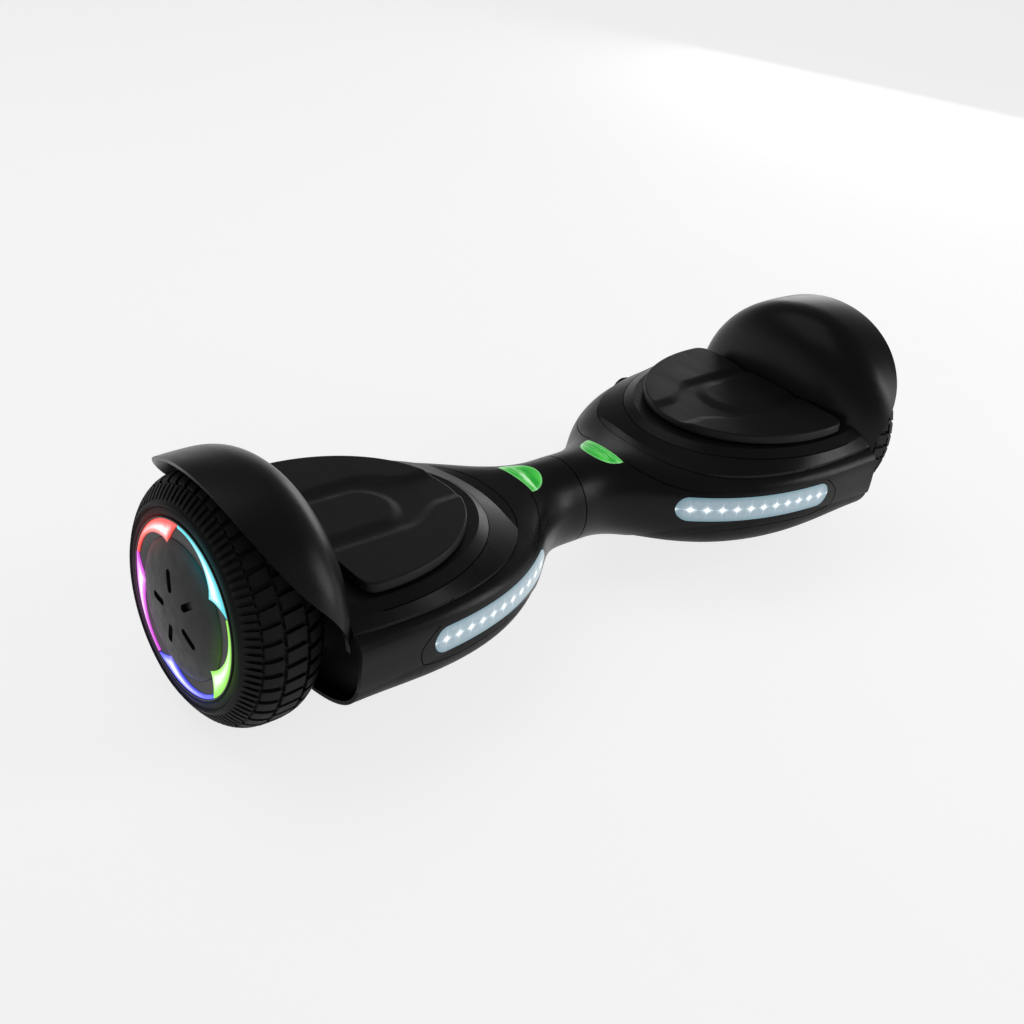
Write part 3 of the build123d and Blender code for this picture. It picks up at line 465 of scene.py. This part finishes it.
def strip_finish():
    """Frosted acrylic with a four-pointed star over each light, its spikes painted glare, and a bluer haze
    near the edge.
    """
    finish, tree, shader, where = new_finish(
        "starlit_acrylic", Base_Color=(0.3, 0.36, 0.4, 1), IOR=1.49, Coat_Weight=0.4, Coat_Roughness=0.05
    )
    along, _, up = axes_of(tree, where, (STRIP_MIDDLE, 0, STRIP_LEVEL))
    past = sum_of(tree, "SUBTRACT", sum_of(tree, "ABSOLUTE", along), STRIP_LENGTH / 2 - STRIP_RADIUS)
    out = distance(tree, sum_of(tree, "MAXIMUM", past, 0.0), up)
    pitch = sum_of(tree, "DIVIDE", along, PITCH)
    local = sum_of(tree, "SUBTRACT", pitch, sum_of(tree, "ROUND", pitch))
    local = sum_of(tree, "MULTIPLY", local, PITCH * 0.82)
    near = distance(tree, local, up)
    core = between(tree, near, 1.0, 0.0, (0.0003, STAR_CORE))
    core = sum_of(tree, "POWER", core, 2.2)
    # Painted glare: four thin spikes of glow reach out from each light's core.
    cross = sum_of(tree, "ABSOLUTE", sum_of(tree, "MULTIPLY", local, up))
    glare_spikes = sum_of(tree, "POWER", between(tree, cross, 1.0, 0.0, (0.0, 3.2e-6)), 3.0)
    glare_spikes = sum_of(tree, "MULTIPLY", glare_spikes, between(tree, near, 0.55, 0.0, (0.001, STAR_REACH)))
    star = sum_of(tree, "ADD", core, glare_spikes)
    frost = between(tree, speckle(tree, where, 420.0, 3.0), 0.80, 1.15)
    edge = between(tree, out, 0.0, 1.0, (0.0056, 0.0088))
    haze = shade(tree, edge, (0.30, 0.46, 0.55), (0.0, 0.22, 0.30))
    colour = shade(tree, sum_of(tree, "MINIMUM", star, 1.0), haze, (1.0, 1.0, 1.0))
    power = sum_of(tree, "ADD", sum_of(tree, "MULTIPLY", star, 0.75), 0.36)
    glow(tree, shader, colour, sum_of(tree, "MULTIPLY", power, frost))
    tree.links.new(between(tree, speckle(tree, where, 90.0), 0.10, 0.20), shader.inputs["Roughness"])
    raised(tree, shader, speckle(tree, where, 500.0, 1.0), 0.12)
    return finish


star_acrylic = strip_finish()
for side, _ in SIDES:
    cad[side + "_front_light_lens"].data.materials[0] = star_acrylic

# ---------------------------------------------------------------- direction lights
# A half-moon lens of green acrylic on top of each half, belly towards the waist and flat side
# to the deck rim, with a frosted core over three lights and a polished rim.
moon_low, moon_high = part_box("right_direction_light_lens")
MOON_RADIUS = (moon_high.y - moon_low.y) / 2
LIGHTS_INWARD = 0.0065


def moon_finish():
    """Green acrylic with pale streaks over the lights and a brighter polished rim."""
    finish, tree, shader, where = new_finish(
        "green_acrylic", Base_Color=(0.02, 0.5, 0.04, 1), IOR=1.49, Coat_Weight=0.6, Coat_Roughness=0.04
    )
    along, across, _ = axes_of(tree, where, (moon_high.x, 0, 0))
    out = distance(tree, along, across)
    belly_rim = between(tree, out, 0.0, 1.0, (MOON_RADIUS * 0.88, MOON_RADIUS * 0.97))
    flat_rim = between(tree, along, 0.0, 1.0, (-0.0016, -0.0004))
    rim = sum_of(tree, "MAXIMUM", belly_rim, flat_rim)
    streak = speckle(tree, where, 70.0, 4.0, (3.2, 0.55, 1))
    from_lights = sum_of(tree, "ABSOLUTE", sum_of(tree, "ADD", along, LIGHTS_INWARD))
    band = between(tree, from_lights, 1.0, 0.0, (0.0015, 0.005))
    white = sum_of(tree, "MULTIPLY", between(tree, streak, 0.0, 1.0, (0.50, 0.62)), band)
    white = sum_of(tree, "ADD", white, sum_of(tree, "MULTIPLY", rim, 0.30))
    body = shade(tree, between(tree, streak, 0, 1, (0.35, 0.6)), (0.012, 0.34, 0.03), (0.10, 0.72, 0.09))
    colour = shade(tree, sum_of(tree, "MINIMUM", white, 1.0), body, (0.72, 1.0, 0.70))
    glow(tree, shader, colour, between(tree, white, 0.50, 0.72, (0.0, 1.0)))
    tree.links.new(between(tree, speckle(tree, where, 90.0), 0.08, 0.18), shader.inputs["Roughness"])
    raised(tree, shader, streak, 0.15)
    return finish


green_acrylic = moon_finish()
for side, _ in SIDES:
    cad[side + "_direction_light_lens"].data.materials[0] = green_acrylic

# ---------------------------------------------------------------- tyres
# A solid rubber tyre is pressed over each motor drum. Three rows of slanted blocks run round
# the crown between two grooves, and a row of short lugs goes over each shoulder.
tyre_low, tyre_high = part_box("right_tyre")
AXLE = (tyre_low.z + tyre_high.z) / 2
TYRE_RADIUS = (tyre_high.z - tyre_low.z) / 2
TYRE_HALF = (tyre_high.x - tyre_low.x) / 2
TYRE_MIDDLE = (tyre_high.x + tyre_low.x) / 2
SAG = 0.017
SEAT_RADIUS = 0.0581
GROOVE = 0.0026
BLOCK_ROOT = 0.0012
GROOVES_FADE = (0.86, 0.94)
DUSTY_FROM, DUSTY_TO = 0.074, 0.082
# inset from the tyre's side and rise above its seat, for the outer side wall and the inner one
OUTER_BEAD = ((0.0006, 0.0062), (0.0014, 0.0056), (0.0006, 0.0048), (0.0002, 0.0020), (0.0016, 0.0))
INNER_BEAD = ((0.0016, 0.0), (0.0002, 0.0020), (0.0006, 0.0056))
# blocks round the tyre, span in shares of the half width, width, slant and offset in degrees, bends
TREAD_ROWS = (
    (90, (-0.695, -0.95), 2.35, 0.0, 0.0, 3),
    (45, (-0.30, -0.665), 6.1, -1.6, 0.0, 2),
    (90, (0.695, 0.95), 2.35, 0.0, 0.0, 3),
    (45, (0.30, 0.665), 6.1, 1.6, 0.0, 2),
    (45, (-0.235, 0.235), 6.3, 1.4, 4.0, 2),
)


def tyre_surface(share):
    """Radius of the tread at a share of the half width from the middle."""
    return TYRE_RADIUS - 0.0001 - SAG * abs(share) ** 3


def turned(line, steps, closed=True):
    """A profile of places along the axle and radii, spun round the axle."""
    form = bmesh.new()
    ring = [form.verts.new((x, 0, AXLE + radius)) for x, radius in line]
    edges = [form.edges.new(pair) for pair in zip(ring, ring[1:])]
    if closed:
        edges.append(form.edges.new((ring[-1], ring[0])))
    bmesh.ops.spin(
        form,
        geom=ring + edges,
        cent=(0, 0, AXLE),
        axis=(1, 0, 0),
        angle=math.tau,
        steps=steps,
        use_merge=True,
    )
    bmesh.ops.remove_doubles(form, verts=form.verts, dist=1e-6)
    bmesh.ops.recalc_face_normals(form, faces=form.faces)
    return form


def tyre_form(sign):
    """The carcass, its crown lowered to the bottom of the grooves, with the rows of blocks on it."""
    line = []
    for step in range(23):
        share = step / 11 - 1
        depth = GROOVE * (1 - ease(abs(share), *GROOVES_FADE))
        line.append((TYRE_MIDDLE + share * TYRE_HALF, tyre_surface(share) - depth))
    line += [(tyre_high.x - inset, SEAT_RADIUS + rise) for inset, rise in OUTER_BEAD]
    line += [(tyre_low.x + inset, SEAT_RADIUS + rise) for inset, rise in INNER_BEAD]
    form = turned(line, 180)
    for row in TREAD_ROWS:
        blocks = tread_row(*row)
        form.from_mesh(blocks)
        bpy.data.meshes.remove(blocks)
    return mirrored(form, sign)


def tread_row(count, span, width, slant, offset, bends):
    """One row: a small cube is wrapped on to the tread, tapered, and repeated round the tyre."""
    row = bmesh.new()
    bmesh.ops.create_cube(row, size=1.0)
    long_edges = [edge for edge in row.edges if abs(edge.verts[0].co.x - edge.verts[1].co.x) > 0.5]
    bmesh.ops.subdivide_edges(row, edges=long_edges, cuts=bends, use_grid_fill=True)
    start, end = span
    width, slant, offset = (math.radians(degrees) for degrees in (width, slant, offset))
    for corner in row.verts:
        along, around, high = corner.co
        top = high > 0
        tip = (0 if abs(along) < 0.4 else math.copysign(0.012, along)) if top else 0
        share = start + (along + 0.5) * (end - start) - tip * math.copysign(1, end - start)
        turn = offset + around * width * (0.88 if top else 1.0) + slant * (along + 0.5)
        radius = tyre_surface(share) - (0 if top else GROOVE + BLOCK_ROOT)
        x = TYRE_MIDDLE + share * TYRE_HALF
        corner.co = (x, -radius * math.sin(turn), AXLE + radius * math.cos(turn))
    bmesh.ops.recalc_face_normals(row, faces=row.faces)
    bmesh.ops.spin(
        row,
        geom=row.verts[:] + row.edges[:] + row.faces[:],
        cent=(0, 0, AXLE),
        axis=(1, 0, 0),
        angle=math.tau * (count - 1) / count,
        steps=count - 1,
        use_duplicate=True,
    )
    mesh = bpy.data.meshes.new("tread_row")
    row.to_mesh(mesh)
    row.free()
    return mesh


HUES = {
    "red_light": (1.0, 0.030, 0.012),
    "cyan_light": (0.05, 0.80, 0.90),
    "green_light": (0.30, 0.95, 0.02),
    "blue_light": (0.05, 0.06, 1.0),
    "magenta_light": (0.85, 0.10, 0.90),
}
FIRST_HEAD = 97.0
HUE_LEAD = 38.0


def spill(tree, shader, where, inner, outer, strength):
    """Light of the hub ring on a piece next to it: hue by angle, fading away from the ring."""
    _, across, up = axes_of(tree, where, (0, 0, AXLE))
    angle = sum_of(tree, "ARCTAN2", up, sum_of(tree, "MULTIPLY", across, -1.0))
    turn = sum_of(tree, "SUBTRACT", math.radians(FIRST_HEAD + HUE_LEAD), angle)
    turn = sum_of(tree, "FRACT", sum_of(tree, "ADD", sum_of(tree, "DIVIDE", turn, math.tau), 1.0))
    node = tree.nodes.new("ShaderNodeValToRGB")
    ramp = node.color_ramp
    ramp.interpolation = "EASE"
    first, *others = HUES.values()
    for element, position in zip(ramp.elements, (0.0, 1.0)):
        element.position = position
        element.color = (*first, 1)
    for index, hue in enumerate(others, 1):
        ramp.elements.new(index / len(HUES)).color = (*hue, 1)
    tree.links.new(turn, node.inputs["Fac"])
    fade = sum_of(tree, "POWER", between(tree, distance(tree, across, up), 0.0, 1.0, (inner, outer)), 3.0)
    place = sum_of(tree, "FRACT", sum_of(tree, "MULTIPLY", turn, float(len(HUES))))
    from_middle = sum_of(tree, "ABSOLUTE", sum_of(tree, "SUBTRACT", place, 0.5))
    head = between(tree, from_middle, 0.35, 1.0, (0.0, 0.5))
    power = sum_of(tree, "MULTIPLY", sum_of(tree, "MULTIPLY", fade, head), strength)
    glow(tree, shader, node.outputs["Color"], power)


def tyre_finish():
    """Dull black rubber, dusty on the tread, with a little of the ring's light on its inner wall."""
    finish, tree, shader, where = new_finish("solid_tyre_rubber", IOR=1.22)
    _, across, up = axes_of(tree, where, (0, 0, AXLE))
    out = distance(tree, across, up)
    dust = speckle(tree, where, 45.0, 5.0)
    tread = between(tree, out, 0.0, 1.0, (DUSTY_FROM, DUSTY_TO))
    dusted = sum_of(tree, "MULTIPLY", tread, between(tree, dust, 0.0, 1.0, (0.35, 0.75)))
    rubber = shade(tree, dusted, (0.005, 0.005, 0.0052), (0.013, 0.0128, 0.0125))
    tree.links.new(rubber, shader.inputs["Base Color"])
    tree.links.new(between(tree, dust, 0.52, 0.68), shader.inputs["Roughness"])
    raised(tree, shader, speckle(tree, where, 1300.0, 2.0), 0.3)
    spill(tree, shader, where, 0.0700, 0.0575, 0.10)
    return finish


tyre_rubber = tyre_finish()
for side, sign in SIDES:
    tyre = object_from(tyre_form(sign), side + "_treaded_tyre", 42)
    tyre.data.materials.append(tyre_rubber)
    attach(tyre, side + "_wheel")
    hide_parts(side + "_tyre")

# ---------------------------------------------------------------- hub covers
# A low dished cover of black plastic closes the middle of each wheel. Five radial slots are
# pressed into it like the spokes of a star, and it is held by screws under its rim.
cover_low, cover_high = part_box("right_hub_cover")
ring_low, ring_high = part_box("right_hub_light_ring")
HUB_RADIUS = cover_high.y - 0.0001
RIM_FACE = ring_high.x - 0.0002
DOME_RADII = (0.985, 0.9, 0.8, 0.7, 0.6, 0.45, 0.3, 0.15, 0.0)
SLOT_FROM, SLOT_TO, SLOT_HALF = 0.0118, 0.0268, 0.0025
SLOT_DEPTH = 0.0036
FIRST_SLOT = -21.6
FIFTH = 72


def dome(radius):
    """Outer face of the cover at a radius from the axle."""
    return RIM_FACE + (cover_high.x - RIM_FACE) * (1 - (radius / HUB_RADIUS) ** 2)


def cover_form():
    """The cover without its slots: a flat back, a narrow edge and a domed face."""
    line = [(cover_low.x, 0.0), (cover_low.x, HUB_RADIUS), (RIM_FACE - 0.0004, HUB_RADIUS)]
    line += [(dome(HUB_RADIUS * share), HUB_RADIUS * share) for share in DOME_RADII]
    return turned(line, 120, closed=False)


def slot_form():
    """Round-ended bars that cut the five slots."""
    form = bmesh.new()
    for index in range(5):
        bar = bmesh.ops.create_cube(form, size=1.0)["verts"]
        bmesh.ops.scale(form, vec=(2 * SLOT_DEPTH, 2 * SLOT_HALF, SLOT_TO - SLOT_FROM), verts=bar)
        uprights = {
            edge
            for corner in bar
            for edge in corner.link_edges
            if abs(edge.verts[0].co.x - edge.verts[1].co.x) > SLOT_DEPTH
        }
        bevelled = bmesh.ops.bevel(
            form,
            geom=list(uprights),
            offset=SLOT_HALF * 0.98,
            segments=6,
            profile=0.5,
            affect="EDGES",
            material=-1,
        )
        corners = {corner for face in bevelled["faces"] for corner in face.verts}
        corners = list(corners | {corner for corner in bar if corner.is_valid})
        turn = Matrix.Rotation(math.radians(FIFTH * index + FIRST_SLOT), 3, "X")
        bmesh.ops.translate(form, vec=(cover_high.x, 0, AXLE + (SLOT_FROM + SLOT_TO) / 2), verts=corners)
        bmesh.ops.rotate(form, cent=(0, 0, AXLE), matrix=turn, verts=corners)
    bmesh.ops.recalc_face_normals(form, faces=form.faces)
    return form


def cut_cover():
    """The cover with its slots, worked out once and copied for both wheels."""
    cover = object_from(cover_form(), "plain_cover")
    bars = object_from(slot_form(), "slot_bars")
    cutting = cover.modifiers.new("slots", "BOOLEAN")
    cutting.operation = "DIFFERENCE"
    cutting.solver = "EXACT"
    cutting.object = bars
    mesh = bpy.data.meshes.new_from_object(cover.evaluated_get(bpy.context.evaluated_depsgraph_get()))
    bpy.data.objects.remove(cover)
    bpy.data.objects.remove(bars)
    return mesh


def cover_finish():
    """Finely grained black plastic, with some of the ring's light on its outer part."""
    finish, tree, shader, where = new_finish("hub_cover_plastic", IOR=1.3)
    tone = between(tree, speckle(tree, where, 30.0), 0, 1)
    plastic = shade(tree, tone, (0.0055, 0.0055, 0.006), (0.008, 0.008, 0.0085))
    tree.links.new(plastic, shader.inputs["Base Color"])
    tree.links.new(between(tree, speckle(tree, where, 140.0, 5.0), 0.36, 0.48), shader.inputs["Roughness"])
    raised(tree, shader, speckle(tree, where, 2400.0, 2.0), 0.2)
    spill(tree, shader, where, 0.028, 0.0465, 0.085)
    return finish


cover_plastic = cover_finish()
cover_mesh = cut_cover()
for side, sign in SIDES:
    form = bmesh.new()
    form.from_mesh(cover_mesh)
    cover = object_from(mirrored(form, sign), side + "_dished_hub_cover", 30)
    cover.data.materials.clear()
    cover.data.materials.append(cover_plastic)
    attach(cover, side + "_wheel")
    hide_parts(side + "_hub_cover", side + "_hub_cover_screws")

# ---------------------------------------------------------------- hub light ring
# Five light pipes of frosted acrylic lie end to end round the hub cover, each a blade with a thin
# tail and a broad angular head. Each is lit from behind in its own colour.
RING_OUT = 0.0570
HEAD_IN = 0.0425
TAIL_IN = 0.0543
SWEEP = 71.0
HEAD_FROM = 0.79
HEAD_LIP = 0.0012
CROWN = 0.00045
PROUD = 0.0002
BLADE_SLOPE = 0.0008
BLADE_FOOT = 0.0020


def blade_inner(share):
    """Inner edge of a blade: from the thin tail in to the corner of the head and back out."""
    if share < HEAD_FROM:
        return TAIL_IN - (TAIL_IN - HEAD_IN) * (share / HEAD_FROM) ** 2.1
    return HEAD_IN + (RING_OUT - HEAD_LIP - HEAD_IN) * (share - HEAD_FROM) / (1 - HEAD_FROM)


def ring_form(sign):
    """The five blades: grids bent round the cover, crowned across and closed behind."""
    form = bmesh.new()
    form.loops.layers.uv.new("blade")
    for index in range(len(HUES)):
        made = bmesh.ops.create_grid(form, x_segments=38, y_segments=8, size=0.5, calc_uvs=True)["verts"]
        faces = list({face for corner in made for face in corner.link_faces})
        for face in faces:
            face.material_index = index
        for corner in made:
            share, across = corner.co.x + 0.5, corner.co.y + 0.5
            turn = math.radians(FIRST_HEAD + SWEEP - FIFTH * index - SWEEP * share)
            inner = blade_inner(share)
            radius = inner + (RING_OUT - inner) * across
            x = max(dome(radius), RIM_FACE - BLADE_SLOPE * ease(radius, HUB_RADIUS, RING_OUT))
            if 0 < across < 1:
                x += CROWN * math.sin(math.pi * across) ** 0.6 + PROUD
            corner.co = (x, -radius * math.cos(turn), AXLE + radius * math.sin(turn))
        grown = bmesh.ops.extrude_face_region(form, geom=faces, use_keep_orig=True)["geom"]
        back = [part for part in grown if isinstance(part, bmesh.types.BMVert)]
        for corner in back:
            corner.co.x = RIM_FACE - BLADE_FOOT
    bmesh.ops.recalc_face_normals(form, faces=form.faces)
    return mirrored(form, sign)


def blade_finish(name, hue):
    """Frosted acrylic lit from behind: white hot along the middle, its colour at the edges."""
    finish, tree, shader, where = new_finish(
        name, Base_Color=(0.05, 0.05, 0.055, 1), IOR=1.49, Coat_Weight=0.5, Coat_Roughness=0.06
    )
    on_blade = tree.nodes.new("ShaderNodeUVMap")
    on_blade.uv_map = "blade"
    split = tree.nodes.new("ShaderNodeSeparateXYZ")
    tree.links.new(on_blade.outputs["UV"], split.inputs["Vector"])
    across = sum_of(tree, "ABSOLUTE", sum_of(tree, "SUBTRACT", split.outputs["Y"], 0.46))
    middle = sum_of(tree, "POWER", between(tree, across, 1.0, 0.0, (0.0, 0.42)), 1.5)
    along = between(tree, split.outputs["X"], 0.0, 1.0, (0.16, 0.74))
    front = between(tree, split.outputs["X"], 1.0, 0.0, (0.76, 0.93))
    hot = sum_of(tree, "MULTIPLY", sum_of(tree, "MULTIPLY", middle, along), front)
    frost = between(tree, speckle(tree, where, 260.0, 4.0), 0.78, 1.12)
    hot = sum_of(tree, "MINIMUM", sum_of(tree, "MULTIPLY", sum_of(tree, "MULTIPLY", hot, 1.35), frost), 1.0)
    colour = shade(tree, hot, hue, (1.0, 1.0, 1.0))
    glow(tree, shader, colour, between(tree, hot, 0.90, 1.25, (0.0, 1.0)))
    tree.links.new(between(tree, speckle(tree, where, 300.0), 0.14, 0.26), shader.inputs["Roughness"])
    raised(tree, shader, speckle(tree, where, 900.0, 2.0), 0.1)
    return finish


blade_acrylics = [blade_finish(name, hue) for name, hue in HUES.items()]
bezel_plastic = moulded(
    "hub_band_plastic", (0.005, 0.005, 0.0053), (0.008, 0.008, 0.0083), (0.38, 0.5), 2000.0, 0.2
)


def bezel_form(sign):
    """Black bezel between the hub cover and the tyre, on which the blades are mounted."""
    back, face = ring_low.x + 0.0002, RIM_FACE - 0.0006
    line = [
        (back, HUB_RADIUS + 0.0003),
        (face - 0.0002, HUB_RADIUS + 0.0003),
        (face, HUB_RADIUS + 0.0008),
        (face - 0.0004, 0.0535),
        (face - 0.0010, RING_OUT - 0.0001),
        (back, RING_OUT - 0.0001),
    ]
    return mirrored(turned(line, 120), sign)


for side, sign in SIDES:
    bezel = object_from(bezel_form(sign), side + "_hub_light_bezel", 30)
    bezel.data.materials.append(bezel_plastic)
    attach(bezel, side + "_wheel")
    blades = object_from(ring_form(sign), side + "_hub_light_blades", 35)
    for acrylic in blade_acrylics:
        blades.data.materials.append(acrylic)
    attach(blades, side + "_wheel")
    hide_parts(side + "_hub_light_ring")

# ---------------------------------------------------------------- motors and running gear
# Each wheel is a hub motor: a cast and turned alloy drum with magnets inside it, a wound
# stator on a steel axle, two ball bearings, and a clamp that bolts the axle to the frame.
drum_alloy = moulded(
    "turned_alloy", (0.42, 0.42, 0.43), (0.52, 0.52, 0.53), (0.30, 0.42), 1200.0, 0.3, Metallic=1.0
)
black_drum = moulded(
    "painted_drum", (0.010, 0.010, 0.0105), (0.015, 0.015, 0.0155), (0.40, 0.52), 1600.0, 0.3
)
bright_steel = moulded(
    "zinc_plated_steel", (0.45, 0.45, 0.44), (0.58, 0.58, 0.56), (0.24, 0.38), 1800.0, 0.2, Metallic=1.0
)
ground_steel = moulded(
    "ground_steel", (0.50, 0.50, 0.51), (0.62, 0.62, 0.63), (0.18, 0.30), 2500.0, 0.15, (8, 1, 1),
    Metallic=1.0,
)
magnet_coat = moulded(
    "nickel_plated_magnet", (0.35, 0.34, 0.32), (0.45, 0.44, 0.42), (0.25, 0.38), 1500.0, 0.15, Metallic=1.0
)
copper = moulded(
    "enamelled_copper", (0.36, 0.13, 0.05), (0.55, 0.22, 0.09), (0.30, 0.45), 900.0, 0.6, (1, 6, 6),
    Metallic=0.9,
)
bush_brass = moulded(
    "sintered_brass", (0.45, 0.30, 0.12), (0.56, 0.39, 0.17), (0.35, 0.5), 2200.0, 0.4, Metallic=1.0
)
screw_black = moulded(
    "blacked_steel", (0.04, 0.04, 0.042), (0.07, 0.07, 0.072), (0.32, 0.46), 1500.0, 0.2, Metallic=1.0
)
for side, _ in SIDES:
    for piece, metal in (
        ("motor_drum", black_drum),
        ("motor_side_cover", drum_alloy),
        ("motor_magnets", magnet_coat),
        ("motor_stator", copper),
        ("wheel_bearings", ground_steel),
        ("axle", ground_steel),
        ("axle_clamp", drum_alloy),
        ("clamp_bolts", bright_steel),
        ("shell_screws", screw_black),
        ("hub_cover_screws", screw_black),
    ):
        cad[side + "_" + piece].data.materials[0] = metal
cad["pivot_tube"].data.materials[0] = ground_steel
cad["pivot_bushes"].data.materials[0] = bush_brass
cad["pivot_circlip"].data.materials[0] = screw_black

# ---------------------------------------------------------------- boards and battery
# The circuit boards are green glass-epoxy with a solder-mask sheen, the light boards white,
# and the battery is a block of cells in blue shrink wrap strapped into the left tray.
board_green = moulded(
    "green_solder_mask", (0.006, 0.06, 0.022), (0.012, 0.10, 0.036), (0.22, 0.36), 700.0, 0.5
)
board_white = moulded("white_solder_mask", (0.55, 0.55, 0.53), (0.68, 0.68, 0.66), (0.28, 0.42), 700.0, 0.4)
shrink_wrap = moulded(
    "blue_shrink_wrap", (0.008, 0.035, 0.16), (0.014, 0.055, 0.24), (0.20, 0.36), 180.0, 0.5
)
for side, _ in SIDES:
    cad[side + "_gyro_board"].data.materials[0] = board_green
    for piece in ("front_light_board", "direction_light_board", "hub_light_board"):
        cad[side + "_" + piece].data.materials[0] = board_white
cad["control_board"].data.materials[0] = board_green
cad["battery_pack"].data.materials[0] = shrink_wrap

# ---------------------------------------------------------------- rear controls
# The power button is a satin plastic plunger, and the charging socket a plated shell with
# contacts, closed by a soft rubber flap on a moulded pin at the back of the right half.
button_plastic = moulded(
    "button_plastic", (0.05, 0.05, 0.052), (0.07, 0.07, 0.073), (0.30, 0.42), 2400.0, 0.15
)
cap_rubber = moulded(
    "soft_cap_rubber", (0.010, 0.010, 0.0105), (0.016, 0.016, 0.0165), (0.55, 0.7), 1400.0, 0.4
)
socket_plate = moulded(
    "plated_socket", (0.40, 0.40, 0.40), (0.52, 0.52, 0.52), (0.25, 0.4), 1200.0, 0.2, Metallic=1.0
)
cad["power_button"].data.materials[0] = button_plastic
cad["charging_port_cap"].data.materials[0] = cap_rubber
cad["charging_socket"].data.materials[0] = socket_plate
